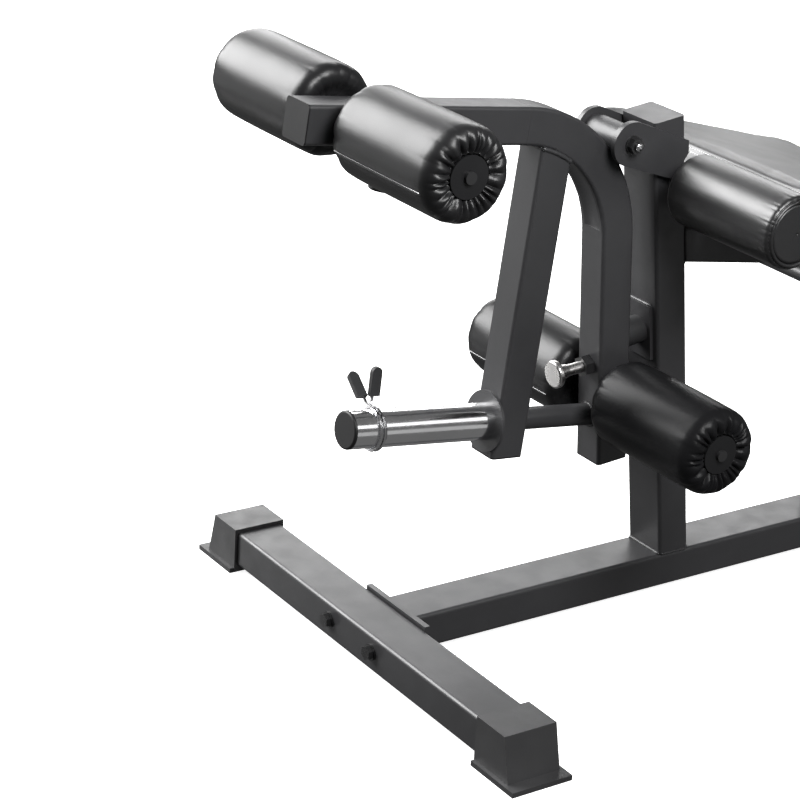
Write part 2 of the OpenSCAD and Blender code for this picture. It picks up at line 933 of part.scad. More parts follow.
// Pull pin: rod into the tube, chrome grip and mushroom knob.
module pull_pin(depth) {
  neck = pin_reach - knob_t;
  translate([0, 0, -depth]) cylinder(d = pin_d, h = depth + neck);
  translate([0, 0, pin_boss_l + seat_gap]) cylinder(d = shank_d, h = neck - pin_boss_l - 12);
  translate([0, 0, neck - 14]) cylinder(d1 = shank_d + 2, d2 = shank_d + 7, h = 14);
  translate([0, 0, neck]) rotate_extrude() union() {
    square([knob_d / 2 - 3, knob_t]);
    translate([0, 3]) square([knob_d / 2, knob_t - 6]);
    translate([knob_d / 2 - 3, 3]) circle(3);
    translate([knob_d / 2 - 3, knob_t - 3]) circle(3);
  }
}

module upper_pin() {
  color("silver") upper_pin_axis() pull_pin(wall + slide_fit + wall + 1.5);
}

module lower_pin() {
  color("silver") lower_pin_axis() pull_pin(wall + slide_fit + wall + 1.5);
}

// Roller carriage: a short tube inside the lever, with a slot where the pull pin rides.
module carriage(pin_in) {
  w = lever_w - 2 * wall - 2 * slide_fit;
  nose = 16;
  tail = pin_in + carriage_travel + 14;
  difference() {
    translate([0, 0, -nose]) linear_extrude(tail + nose) difference() {
      rounded(w, w, 3);
      rounded(w - 2 * wall, w - 2 * wall, 1.5);
    }
    along_y(axle_d, -lever_w, lever_w);
    for (i = [-1, 1]) translate([-w, 0, pin_in + i * carriage_travel])
      rotate([0, 90, 0]) cylinder(d = pin_d + 2 * run_fit, h = w);
    translate([-w, -pin_d / 2 - run_fit, pin_in - carriage_travel])
      cube([w, pin_d + 2 * run_fit, 2 * carriage_travel]);
  }
}

module upper_carriage() {
  color("gray") on_arm(upper_axle_u) rotate(a = 180, v = [1, 0, 1]) carriage(upper_pin_in);
}

module lower_carriage() {
  color("gray") on_leg(lower_axle_u) carriage(lower_pin_in);
}

axle_half = lever_w / 2 + roller_gap + roller_l - 3;

disc_t = 4;
end_screw_d = 8;
end_head_d = 15;
end_head_h = 4;

// Axle with a screw in each end that holds the roller's end disc.
module axle() {
  inner = axle_half - disc_t - seat_gap;
  along_y(axle_d, -inner, inner);
  along_y(end_screw_d, -axle_half - 1, axle_half + 1);
  for (s = [0, 1]) mirror([0, s, 0])
    along_y(end_head_d, axle_half + seat_gap, axle_half + seat_gap + end_head_h);
}

module upper_axle() {
  color("dimgray") on_arm(upper_axle_u) axle();
}

module lower_axle() {
  color("dimgray") on_leg(lower_axle_u) axle();
}

// Hub: a plastic core on the axle, closed by the outer end disc.
module hub() {
  y0 = lever_w / 2 + roller_gap - 2;
  difference() {
    union() {
      along_y(axle_d + 9, y0, axle_half);
      along_y(disc_d, axle_half - disc_t, axle_half);
    }
    along_y(axle_d + 2 * run_fit, y0 - 1, axle_half - disc_t);
    along_y(end_screw_d + 2 * run_fit, y0, axle_half + 1);
  }
}

module upper_hub_far() {
  color("black") on_arm(upper_axle_u) hub();
}

module upper_hub_near() {
  color("black") on_arm(upper_axle_u) mirror([0, 1, 0]) hub();
}

module lower_hub_far() {
  color("black") on_leg(lower_axle_u) hub();
}

module lower_hub_near() {
  color("black") on_leg(lower_axle_u) mirror([0, 1, 0]) hub();
}

// Shin roller: soft shoulders, a slightly full belly and a drawn-in outer end.
module shin_roller() {
  r = roller_d / 2;
  bore = (axle_d + 9) / 2 + 0.05;
  well = disc_d / 2 + 0.4;
  l = roller_l;
  translate([0, lever_w / 2 + roller_gap, 0]) rotate([-90, 0, 0]) rotate_extrude($fn = 96)
    polygon([[bore, 2], [r - 22, 0], [r - 11, 2], [r - 4, 7], [r - 1.4, 16], [r - 0.4, 40],
      [r, l / 2], [r - 0.4, l - 40], [r - 1.4, l - 16], [r - 4, l - 7], [r - 11, l - 1.5],
      [r - 18, l], [well + 3, l - 2], [well, l - 4], [well, l - 8], [bore, l - 8]]);
}

module upper_roller_far() {
  color("black") on_arm(upper_axle_u) shin_roller();
}

module upper_roller_near() {
  color("black") on_arm(upper_axle_u) mirror([0, 1, 0]) shin_roller();
}

module lower_roller_far() {
  color("black") on_leg(lower_axle_u) shin_roller();
}

module lower_roller_near() {
  color("black") on_leg(lower_axle_u) mirror([0, 1, 0]) shin_roller();
}

// Wire of the spring collar: ring after ring of a six-sided section along a path.
function unit(v) = v / norm(v);

function wire_rings(path, r, sides) = [
  for (i = [0 : len(path) - 1])
    let (
      t = unit(path[min(i + 1, len(path) - 1)] - path[max(i - 1, 0)]),
      a = unit(cross(t, abs(t[2]) < 0.9 ? [0, 0, 1] : [1, 0, 0])),
      b = cross(t, a)
    )
    for (k = [0 : sides - 1])
      path[i] + r * (cos(360 * k / sides) * a + sin(360 * k / sides) * b)
];

function wire_faces(n, sides) = concat(
  [[for (k = [0 : sides - 1]) k]],
  [for (i = [0 : n - 2], k = [0 : sides - 1])
    let (m = (k + 1) % sides)
    [i * sides + k, (i + 1) * sides + k, (i + 1) * sides + m, i * sides + m]],
  [[for (k = [sides - 1 : -1 : 0]) (n - 1) * sides + k]]
);

coil_r = sleeve_d / 2 + wire_d / 2 + 0.4;
coil_steps = 43;
coil_open = 35;
coil_sweep = 360 * coil_turns - 2 * coil_open;
coil_l = coil_pitch * coil_sweep / 360;
tail_run = 18;
grip_lean = 25;
grip_rise = 9;
wire_in = 14;
paddle_w = 15;
paddle_t = 6.5;
paddle_l = 38;
paddle_shift = 2.4;

// The coil's axis is Z. Its tails leave it as tangents on the +X side, cross, and turn up.
coil_path = [
  for (i = [0 : coil_steps])
    let (a = coil_open + i * coil_sweep / coil_steps)
    [coil_r * cos(a), coil_r * sin(a), i * coil_l / coil_steps]
];

function tail_bend(side) = [
  coil_r * cos(coil_open) + tail_run * sin(coil_open),
  side * (tail_run * cos(coil_open) - coil_r * sin(coil_open)), 0
];

function tail_way(side) = [cos(grip_lean), side * sin(grip_lean), 0];

function tail_path(side, z) = [
  tail_bend(side) - tail_run / 2 * [sin(coil_open), side * cos(coil_open), 0] + [0, 0, z],
  tail_bend(side) + [0, 0, z],
  tail_bend(side) + (grip_rise - 2) * tail_way(side) + [0, 0, z],
  tail_bend(side) + (grip_rise + wire_in) * tail_way(side) + [0, 0, z]
];

collar_path = concat(
  [for (i = [3 : -1 : 0]) tail_path(-1, 0)[i]],
  coil_path,
  tail_path(1, coil_l)
);

// Least gap of the wire to itself, between points over a third of a turn apart.
function least_gap(path, apart) = min([
  for (i = [0 : len(path) - 1 - apart], j = [i + apart : 1 : len(path) - 1])
    norm(path[i] - path[j])
]) - wire_d;

echo(collar_spring_least_gap_mm = least_gap(collar_path, 8));

// Frame of the collar on the sleeve: local Z runs to the rear, local X up and to the far side.
module on_collar() {
  on_sleeve(collar_u - coil_l / 2) rotate([0, 0, 180 - collar_turn]) children();
}

module collar_spring() {
  color("silver") on_collar()
    polyhedron(wire_rings(collar_path, wire_d / 2, 6), wire_faces(len(collar_path), 6));
}

// Grip with a round top, its foot at the tail's bend and its length on +Z.
module paddle(side) {
  straight = paddle_l - paddle_w / 2;
  translate(tail_bend(side) + grip_rise * tail_way(side))
    rotate([0, 0, side * grip_lean]) rotate([0, 90, 0]) difference() {
      translate([-side * paddle_shift, -paddle_t / 2, 0]) {
        translate([-paddle_w / 2, 0, 0]) cube([paddle_w, paddle_t, straight]);
        translate([0, 0, straight]) rotate([-90, 0, 0]) cylinder(d = paddle_w, h = paddle_t);
      }
      translate([0, 0, -1]) cylinder(d = wire_d + 1, h = wire_in + 2);
    }
}

module collar_grips() {
  color("black") on_collar() {
    paddle(-1);
    translate([0, 0, coil_l]) paddle(1);
  }
}

// Backrest: its tube turns on a sleeve, and an ear beside the sector holds the pin's barrel.
module back_tube() {
  ear_low = sector_hole_r - ear_half;
  bridge_low = sector_r + 8;
  bridge_y = back_w / 2 - 1;
  color("dimgray") difference() {
    union() {
      on_back(12) tube(back_w, back_w, back_tube_l);
      on_back(0) along_y(hinge_sleeve_d, -frame_w / 2 + 1, frame_w / 2 - 1);
      on_back(ear_low) translate([-ear_half, sector_ear_y, 0])
        cube([2 * ear_half, ear_t, ear_l]);
      on_back(bridge_low) translate([-ear_half, bridge_y, 0])
        cube([2 * ear_half, sector_ear_y - bridge_y + 1, ear_bridge_l]);
      on_back(sector_hole_r)
        along_y(back_barrel_d, sector_ear_y + ear_t - 1, sector_ear_y + ear_t + back_barrel_l);
    }
    on_back(0) along_y(hinge_d + 2 * run_fit, -frame_w, frame_w);
    on_back(sector_hole_r) along_y(pin_d + 2 * run_fit, back_w / 2 - wall - 2, 2 * frame_w);
  }
}

module back_plug() {
  color("black") on_back(12 + back_tube_l) mirror([0, 0, 1]) frame_plug(back_w, back_w);
}

module back_board() {
  color("peru") on_back(back_pad_u + back_l / 2) translate([-back_w / 2 - board_t, 0, 0])
    rotate([0, 90, 0]) linear_extrude(board_t)
      rounded(back_l - 2 * board_inset, back_pad_w - 2 * board_inset, board_corner_r);
}

module back_pad() {
  color("black") on_back(back_pad_u) translate([-back_w / 2 - board_t - pad_t, 0, 0])
    rotate([0, -90, 0]) cushion(back_l, back_pad_w, pad_t - seat_gap);
}

module back_pin() {
  grip = sector_ear_y + ear_t + back_barrel_l + seat_gap;
  knob = grip + back_pin_grip_l;
  color("silver") on_back(sector_hole_r) {
    along_y(pin_d, back_w / 2 - wall - 1, knob + 1);
    along_y(shank_d + 4, grip, knob + 1);
    along_y(knob_d - 6, knob, knob + back_pin_knob_t);
  }
}

front_stabiliser();
rear_stabiliser();
front_feet();
rear_feet();
floor_beam();
mounting_flanges();
frame_bolts();
upright();
upright_cap();
pivot_plate_near();
pivot_plate_far();
pivot_bolt();
stop_plate();
stop_bumper();
bench_beam();
rear_post();
seat_brackets();
seat_board();
seat_pad();
seat_screws();
knee_axle();
knee_hub();
knee_pad();
handle_bar();
handle_grips();
sector_plate();
hinge_plate();
hinge_bolt();
lever_tube();
pivot_sleeve();
pivot_bushes();
brace();
cross_bar();
sleeve_flange();
weight_sleeve();
sleeve_cap();
lever_plugs();
pin_barrels();
upper_carriage();
upper_axle();
lower_carriage();
lower_axle();
upper_hub_near();
upper_hub_far();
lower_hub_near();
lower_hub_far();
upper_roller_near();
upper_roller_far();
lower_roller_near();
lower_roller_far();
upper_pin();
lower_pin();
collar_spring();
collar_grips();
back_tube();
back_board();
back_pad();
back_pin();
bench_plug();
back_plug();
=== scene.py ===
"""Leg extension and hamstring machine: looks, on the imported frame."""
import json
import math

import bmesh
import bpy
import numpy as np
from mathutils import Matrix, Vector, noise
from mathutils.bvhtree import BVHTree
from mathutils.kdtree import KDTree


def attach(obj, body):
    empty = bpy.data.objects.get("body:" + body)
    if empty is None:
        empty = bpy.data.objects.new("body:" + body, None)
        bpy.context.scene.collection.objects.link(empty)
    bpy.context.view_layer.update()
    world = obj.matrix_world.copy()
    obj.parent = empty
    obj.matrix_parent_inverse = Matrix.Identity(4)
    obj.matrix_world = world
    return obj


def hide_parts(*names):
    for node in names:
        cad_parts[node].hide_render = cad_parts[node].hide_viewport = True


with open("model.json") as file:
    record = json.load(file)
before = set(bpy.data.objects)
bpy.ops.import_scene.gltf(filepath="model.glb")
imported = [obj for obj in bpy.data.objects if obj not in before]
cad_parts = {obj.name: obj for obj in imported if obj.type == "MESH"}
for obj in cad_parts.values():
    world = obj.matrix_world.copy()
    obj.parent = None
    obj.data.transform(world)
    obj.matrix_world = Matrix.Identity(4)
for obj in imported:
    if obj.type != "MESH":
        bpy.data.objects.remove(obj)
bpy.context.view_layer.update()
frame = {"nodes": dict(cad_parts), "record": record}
record = frame["record"]
nodes = frame["nodes"]
joints = {j["name"]: j for j in record["behaviour"]["joints"]}
MM = 0.001  # helpers work in mm, and their points are scaled by this
X0 = -544.77  # middle of the front stabiliser, from which the source measures X

# ---------------------------------------------------------------- camera
CAM = Vector((-2.183, -2.3685, 1.5475))
YAW, PITCH, ROLL = math.radians(54.977), math.radians(22.315), math.radians(3.616)
fwd = Vector((math.cos(YAW) * math.cos(PITCH), math.sin(YAW) * math.cos(PITCH),
              -math.sin(PITCH)))
right = Vector((math.sin(YAW), -math.cos(YAW), 0.0))
up = right.cross(fwd)
cam_x = right * math.cos(ROLL) + up * math.sin(ROLL)
cam_y = -right * math.sin(ROLL) + up * math.cos(ROLL)
cam_data = bpy.data.cameras.new("photo_camera")
cam_data.lens = 110.97
cam_data.sensor_width = 36.0
cam_data.clip_end = 100.0
cam = bpy.data.objects.new("photo_camera", cam_data)
cam.matrix_world = Matrix((
    (cam_x.x, cam_y.x, -fwd.x, CAM.x),
    (cam_x.y, cam_y.y, -fwd.y, CAM.y),
    (cam_x.z, cam_y.z, -fwd.z, CAM.z),
    (0, 0, 0, 1)))
bpy.context.scene.collection.objects.link(cam)
bpy.context.scene.camera = cam
bpy.context.scene.view_settings.view_transform = "Standard"


# ---------------------------------------------------------------- materials
MIX_FACTOR, MIX_A, MIX_B, MIX_RESULT = 0, 6, 7, 2  # colour sockets of the Mix node
TONE_DETAIL, CLOUD_DETAIL, FINE_DETAIL = 5.0, 3.0, 2.0
CELL_WALL = 0.12  # share of a hide cell that its groove takes


def add(nt, kind, **values):
    """Adds a node; a value goes to the input of that name, or else to the property."""
    n = nt.nodes.new(kind)
    for k, v in values.items():
        if k in n.inputs:
            n.inputs[k].default_value = v
        else:
            setattr(n, k, v)
    return n


def spread(nt, fac, low, high, a=0.35, b=0.65):
    """Map Range of a factor to a span of values."""
    r = add(nt, "ShaderNodeMapRange")
    r.inputs["From Min"].default_value = a
    r.inputs["From Max"].default_value = b
    r.inputs["To Min"].default_value = low
    r.inputs["To Max"].default_value = high
    nt.links.new(fac, r.inputs["Value"])
    return r.outputs["Result"]


def surface(name, base, rough, metallic=0.0, spec=0.5, tone=0.12, tone_scale=9.0,
            rough_span=0.05, rough_scale=30.0, grain=900.0, grain_depth=0.00006, cells=0.0,
            cell_depth=0.0, stretch=None):
    """Procedural surface: mottled tone, uneven gloss, fine grain and, for hide, cells."""
    m = bpy.data.materials.new(name)
    m.use_nodes = True
    nt = m.node_tree
    p = nt.nodes["Principled BSDF"]
    vec = add(nt, "ShaderNodeTexCoord").outputs["Object"]
    if stretch:
        mp = add(nt, "ShaderNodeMapping")
        mp.inputs["Scale"].default_value = stretch
        nt.links.new(vec, mp.inputs["Vector"])
        vec = mp.outputs["Vector"]

    def cloud(scale, detail=CLOUD_DETAIL):
        n = add(nt, "ShaderNodeTexNoise", Scale=scale, Detail=detail)
        nt.links.new(vec, n.inputs["Vector"])
        return n.outputs["Fac"]

    mottle = add(nt, "ShaderNodeMix", data_type="RGBA")
    for socket, factor in ((MIX_A, 1 - tone), (MIX_B, 1 + tone)):
        mottle.inputs[socket].default_value = tuple(v * factor for v in base) + (1,)
    nt.links.new(spread(nt, cloud(tone_scale, TONE_DETAIL), 0, 1), mottle.inputs[MIX_FACTOR])
    nt.links.new(mottle.outputs[MIX_RESULT], p.inputs["Base Color"])
    nt.links.new(spread(nt, cloud(rough_scale), rough - rough_span, rough + rough_span),
                 p.inputs["Roughness"])
    p.inputs["Metallic"].default_value = metallic
    p.inputs["Specular IOR Level"].default_value = spec
    normal = None

    def bump(height, depth):
        nonlocal normal
        b = add(nt, "ShaderNodeBump", Strength=1.0, Distance=depth)
        nt.links.new(height, b.inputs["Height"])
        if normal is not None:
            nt.links.new(normal, b.inputs["Normal"])
        normal = b.outputs["Normal"]

    if cells:
        v = add(nt, "ShaderNodeTexVoronoi", Scale=cells, feature="DISTANCE_TO_EDGE")
        nt.links.new(vec, v.inputs["Vector"])
        bump(spread(nt, v.outputs["Distance"], 0, 1, 0.0, CELL_WALL), cell_depth)
    if grain:
        bump(cloud(grain, FINE_DETAIL), grain_depth)
    if normal is not None:
        nt.links.new(normal, p.inputs["Normal"])
    return m


coat_black = surface("powder_coat", (0.025, 0.025, 0.0265), 0.40, spec=0.45, tone=0.10,
                     grain=850, grain_depth=0.00005, rough_span=0.035)
foot_black = surface("foot_plastic", (0.026, 0.026, 0.027), 0.44, spec=0.50, tone=0.15,
                     grain=600, grain_depth=0.00008, rough_span=0.05)
rubber = surface("rubber", (0.016, 0.016, 0.017), 0.62, spec=0.35, grain=500,
                 grain_depth=0.00010)
plastic = surface("moulded_plastic", (0.006, 0.006, 0.0065), 0.46, spec=0.28, grain=700,
                  grain_depth=0.00005)
steel_black = surface("black_oxide", (0.012, 0.012, 0.0125), 0.32, spec=0.45, grain=500,
                      grain_depth=0.00004)
chrome = surface("chrome", (0.88, 0.88, 0.89), 0.15, metallic=1.0, tone=0.03, rough_span=0.03,
                 rough_scale=60, grain=260, grain_depth=0.00002)
wire = surface("spring_wire", (0.72, 0.72, 0.73), 0.16, metallic=1.0, tone=0.06,
               rough_span=0.04, grain=400, grain_depth=0.00003)
satin = surface("satin_nickel", (0.62, 0.61, 0.60), 0.27, metallic=1.0, tone=0.06,
                rough_span=0.04, grain=300, grain_depth=0.00003)
zinc = surface("zinc_plate", (0.60, 0.60, 0.61), 0.34, metallic=1.0, tone=0.10, grain=500,
               grain_depth=0.00004)
nylon = surface("nylon", (0.72, 0.70, 0.64), 0.48, tone=0.05, grain=500, grain_depth=0.00004)
wood = surface("plywood", (0.17, 0.115, 0.07), 0.60, tone=0.30, tone_scale=5.0, grain=60,
               grain_depth=0.00020, stretch=(1.0, 9.0, 9.0))
hide = dict(tone=0.10, rough_scale=14.0, rough_span=0.02, cells=620.0, cell_depth=0.00002,
            grain=1500.0, grain_depth=0.00002)
shin_vinyl = surface("shin_vinyl", (0.009, 0.009, 0.0095), 0.34, spec=0.27, **hide)
# Darker, less glossy copy of the shin hide: painted shade on the lower near roller, which the
# seat and bench shade
painted_shade_vinyl = surface("painted_shade_vinyl", (0.007, 0.007, 0.0075), 0.32, spec=0.08, **hide)
knee_vinyl = surface("knee_vinyl", (0.009, 0.009, 0.0095), 0.37, spec=0.62, **hide)
seat_vinyl = surface("seat_vinyl", (0.030, 0.030, 0.031), 0.42, spec=0.66, **hide)
thread = surface("thread", (0.70, 0.70, 0.71), 0.70, spec=0.3, tone=0.2, grain=2500,
                 grain_depth=0.0001)

FINISH = {
    "frame_paint": coat_black, "lever_paint": coat_black, "foot_plastic": foot_black,
    "bumper_rubber": rubber, "black_steel": steel_black, "chrome_sleeve": chrome,
    "chrome_pin": satin, "spring_wire": wire, "grip_rubber": rubber,
    "plug_plastic": plastic, "hub_plastic": plastic, "shin_vinyl": shin_vinyl,
    "knee_vinyl": knee_vinyl, "seat_vinyl": seat_vinyl, "back_vinyl": seat_vinyl,
    "board_wood": wood, "zinc": zinc, "bush_nylon": nylon, "carriage_steel": steel_black,
}
OWN_FINISH = {"upper_pin": steel_black}  # the photograph's upper pull pin is dark
ROUNDED = ("frame_paint", "lever_paint", "foot_plastic", "plug_plastic", "hub_plastic",
           "black_steel")
EDGE_ROUND = 0.7 * MM
EDGE_ANGLE = math.radians(50)
for sub in record["subparts"]:
    o = nodes[sub["node"]]
    for s in o.material_slots:
        s.material = OWN_FINISH.get(sub["node"], FINISH[sub["material_slot"]])
    if sub["material_slot"] in ROUNDED:
        edge = o.modifiers.new("edge", "BEVEL")
        edge.width = EDGE_ROUND
        edge.segments = 2
        edge.limit_method = "ANGLE"
        edge.angle_limit = EDGE_ANGLE
        edge.harden_normals = True


# ---------------------------------------------------------------- mesh helpers
def solid(name, verts, faces):
    """New object of a closed mesh in metres, its faces all turned outward."""
    me = bpy.data.meshes.new(name)
    me.from_pydata([tuple(v) for v in verts], [], faces)
    bm = bmesh.new()
    bm.from_mesh(me)
    bmesh.ops.recalc_face_normals(bm, faces=bm.faces)
    bm.to_mesh(me)
    bm.free()
    o = bpy.data.objects.new(name, me)
    bpy.context.scene.collection.objects.link(o)
    return o


def piece(name, verts, faces, material, body, replaces=None):
    """Visible piece of the part, smooth shaded, on its body."""
    o = solid(name, verts, faces)
    o.data.materials.append(material)
    o.data.shade_smooth()
    dress(o, body, replaces)


def dress(o, body, replaces=None):
    """Body, and the CAD node that the piece stands for."""
    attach(o, body)
    if replaces:
        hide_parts(replaces)


def grid_faces(rows, cols, wrap_rows=False):
    """Quads of a grid of rings; columns wrap round."""
    out = []
    for i in range(rows if wrap_rows else rows - 1):
        j = (i + 1) % rows
        for k in range(cols):
            m = (k + 1) % cols
            out.append((i * cols + k, i * cols + m, j * cols + m, j * cols + k))
    return out


def smooth_step(t):
    """0 below 0 and 1 above 1, with an even bend between."""
    t = np.clip(t, 0, 1)
    return t * t * (3 - 2 * t)


def pleats(theta, n, seed, jitter=0.55, power=0.55):
    """0 in each fold's valley, 1 on the ridges between; also each valley's own depth."""
    rng = np.random.RandomState(seed)
    marks = (np.arange(n) + jitter * (rng.rand(n) - 0.5)) * 2 * np.pi / n
    marks = np.sort(np.mod(marks, 2 * np.pi))
    depth = 0.55 + 0.75 * rng.rand(n)
    t = np.mod(theta, 2 * np.pi)
    k = np.searchsorted(marks, t) - 1
    a = marks[k]
    b = marks[(k + 1) % n]
    gap = np.mod(b - a, 2 * np.pi)
    u = np.mod(t - a, 2 * np.pi) / gap
    h = np.sin(np.pi * np.clip(u, 0, 1)) ** power
    d = depth[k] * (1 - u) + depth[(k + 1) % n] * u
    return h, d


def swell(angles, radius, shift, level):
    """Slow unevenness round a ring, from -1 to 1."""
    places = [Vector((radius * math.cos(t) + shift, radius * math.sin(t), level)) for t in angles]
    return np.array([noise.noise(place) for place in places])


def revolve(profile, cols, shape, centre, sign, y0):
    """Points in metres of a closed profile (radius, along) turned about Y.

    shape(radius, along, angles) says how far each point of a ring sinks in, in mm.
    """
    prof = np.array(profile, float)
    nxt = np.roll(prof, -1, axis=0) - np.roll(prof, 1, axis=0)
    ln = np.maximum(np.hypot(nxt[:, 0], nxt[:, 1]), 1e-6)
    nr, ny = -nxt[:, 1] / ln, nxt[:, 0] / ln
    theta = np.arange(cols) * 2 * np.pi / cols
    verts = []
    for i, (r, y) in enumerate(prof):
        push = shape(r, y, theta)
        rr = r - nr[i] * push
        yy = y - ny[i] * push
        x = centre[0] + rr * np.cos(theta)
        z = centre[2] + rr * np.sin(theta)
        for k in range(cols):
            verts.append((x[k] * MM, sign * (y0 + yy[k]) * MM, z[k] * MM))
    return verts


# ---------------------------------------------------------------- shin rollers
ROLL_R, ROLL_L, ROLL_Y = 57.5, 202.0, 44.0  # radius, length, and inner end from the middle
ROLL_FULL, ROLL_OUT = 1.6, 5.5  # how far the hide swells out, and over the inner end
ROLL_BORE = 14.6
WELL_R, WELL_DEPTH = 26.6, 8.0  # hollow round the hub in the outer end
OUTER_ROUND, INNER_ROUND = 19.0, 18.0  # shoulders of the two ends, as radii
ROLL_COLS = 360  # points round a roller
OUTER_FOLDS, SHOULDER_FOLDS, INNER_FOLDS, INNER_SHOULDER_FOLDS = 24, 11, 19, 12
STITCH_PITCH = 3.3


def power_arc(centre, reach, angle, power):
    """Point on a slightly squared quarter round: (out, along) from its centre."""
    a = math.radians(angle)
    along = math.cos(a) ** power if angle < 90 else 0.0
    return centre[0] + reach[0] * math.sin(a) ** power, centre[1] + reach[1] * along


def roller_profile():
    """(radius, along) from the outer well over the outer end, along, and back in the bore."""
    R, L = ROLL_R, ROLL_L
    out = [(ROLL_BORE + 0.1, L - WELL_DEPTH), (20, L - WELL_DEPTH), (26.3, L - WELL_DEPTH),
           (26.4, L - 5.5), (WELL_R, L - 3.4)]
    for t in np.linspace(0.12, 1, 10):
        out.append((WELL_R + t * (R - OUTER_ROUND - WELL_R),
                    L - 3.4 + 3.2 * math.sin(t * math.pi / 2)))
    for a in np.linspace(4, 90, 22):
        out.append(power_arc((R - OUTER_ROUND, L - 22), (18.6, 21.8), a, 0.92))
    for y in np.linspace(L - 26, 24, 44):
        out.append((R - 0.4 + 0.4 * math.sin(math.pi * y / L), y))
    for a in np.linspace(90, 2, 20):
        out.append(power_arc((R - INNER_ROUND, 18), (17.6, -17.8), a, 0.9))
    for t in np.linspace(0.15, 1, 6):
        out.append((R - INNER_ROUND - t * (R - INNER_ROUND - 22), 0.2 + 1.6 * t))
    out.append((ROLL_BORE + 0.1, 2.4))
    for y in np.linspace(30, L - 30, 4):
        out.append((ROLL_BORE, y))
    return out


def shin_roller(name, body, sign, centre, seed, seam, hide_mat=shin_vinyl):
    """Cover with gathered ends and one sewn seam, at the angle seam, with its stitches."""
    R, L = ROLL_R, ROLL_L

    def shape(r, y, th):
        push = np.zeros(len(th))
        if r < 21:
            return push
        if y > L / 2:  # outer end: deep folds in the face, slight ones over the shoulder
            face = smooth_step((y - (L - 30)) / 26)
            bent = th + 0.10 * face * np.sin(3 * th + seed)
            h, d = pleats(bent, OUTER_FOLDS, seed, 0.75, 0.8)
            edge = 0.55 + 0.45 * smooth_step((r - 26.5) / 6)
            inner = smooth_step((R - 2 - r) / 19)
            push += 5.0 * face * edge * d * (1 - h) * inner
            push -= 1.6 * face * h * smooth_step((r - 28) / 8) * inner
            h2, d2 = pleats(th, SHOULDER_FOLDS, seed + 7, 0.8, 1.0)
            push += 0.9 * d2 * (1 - h2) * np.exp(-max(L - 16 - y, 0) / 12.0)
        else:  # inner end: shallow folds
            face = smooth_step((26 - y) / 24)
            h, d = pleats(th, INNER_FOLDS, seed + 3)
            push += 0.5 * face * d * (1 - h) * smooth_step((R - 3 - r) / 14)
            h2, d2 = pleats(th, INNER_SHOULDER_FOLDS, seed + 3, 0.4, 1.0)
            push += 1.2 * d2 * (1 - h2) * np.exp(-max(y - 8, 0) / 12.0)
        push += 0.3 * swell(th, 1.6, seed, y / 70) - ROLL_FULL * smooth_step((r - 30) / 20)
        # The seam: a groove between two slight ridges.
        along = smooth_step((y - 8) / 10) * smooth_step((L - 14 - y) / 10)
        d = np.abs(np.angle(np.exp(1j * (th - seam)))) * R
        push -= along * 0.55 * np.exp(-((d - 1.6) / 1.1) ** 2)
        push += along * 0.9 * np.exp(-(d / 0.8) ** 2)
        return push

    prof = [(r, y - ROLL_OUT * smooth_step((46 - y) / 40) * smooth_step((r - 24) / 14))
            for r, y in roller_profile()]
    verts = revolve(prof, ROLL_COLS, shape, centre, sign, ROLL_Y)
    piece(name + "_cover", verts, grid_faces(len(prof), ROLL_COLS, True), hide_mat, body,
          replaces=name)
    v, f = [], []
    a = seam - 1.5 / R  # the stitches run beside the groove
    out = Vector((math.cos(a), 0, math.sin(a)))
    y = 8.0
    while y < L - 16:
        c = Vector((centre[0], sign * (ROLL_Y + y), centre[2])) + out * (R + ROLL_FULL + 0.1)
        capsule(v, f, c, Vector((0, 1, 0)), out, 3.0, 0.6)
        y += STITCH_PITCH
    piece(name + "_stitches", [p * MM for p in v], f, thread, body)


STITCH_SIDES = 8
STITCH_ROWS = ((-0.5, 0.25, -0.5), (-0.35, 0.85, -0.1), (0.0, 1.0, 0.1), (0.35, 0.85, -0.1),
               (0.5, 0.25, -0.5))  # place along, thickness and lift, as shares


def capsule(v, f, c, along, n, length, r):
    """Adds one stitch to v and f: a short thread, sunk at both ends."""
    along = along.normalized()
    side = along.cross(n).normalized()
    base, sides, rows = len(v), STITCH_SIDES, STITCH_ROWS
    for t, k, lift in rows:
        for s in range(sides):
            a = 2 * math.pi * s / sides
            v.append(c + along * (t * length) + (side * math.cos(a) + n * math.sin(a)) * (r * k)
                     + n * (lift * r))
    for i in range(len(rows) - 1):
        for s in range(sides):
            m = (s + 1) % sides
            f.append((base + i * sides + s, base + i * sides + m,
                      base + (i + 1) * sides + m, base + (i + 1) * sides + s))
    f.append(tuple(base + s for s in reversed(range(sides))))
    f.append(tuple(base + (len(rows) - 1) * sides + s for s in range(sides)))


# The lever's two straight parts run from CORNER, where their middle lines would meet.
ARM_TILT, LEG_TILT = math.radians(6.5), math.radians(4.75)
CORNER = (322.3, 692.1)


def arm_point(u):
    return (X0 + CORNER[0] - u * math.cos(ARM_TILT), 0.0, CORNER[1] + u * math.sin(ARM_TILT))


def leg_point(u):
    return (X0 + CORNER[0] + u * math.sin(LEG_TILT), 0.0, CORNER[1] - u * math.cos(LEG_TILT))


UPPER, LOWER = arm_point(398.0), leg_point(377.5)
SEAM = math.pi + math.radians(17)
shin_roller("upper_roller_near", "upper_roll_near", -1, UPPER, 3, SEAM)
shin_roller("upper_roller_far", "upper_roll_far", 1, UPPER, 11, SEAM + 1.9)
# The lower near roller takes the darker copy of the hide, as painted shade
shin_roller("lower_roller_near", "lower_roll_near", -1, LOWER, 23, SEAM + 2.6,
            hide_mat=painted_shade_vinyl)
shin_roller("lower_roller_far", "lower_roll_far", 1, LOWER, 31, SEAM)

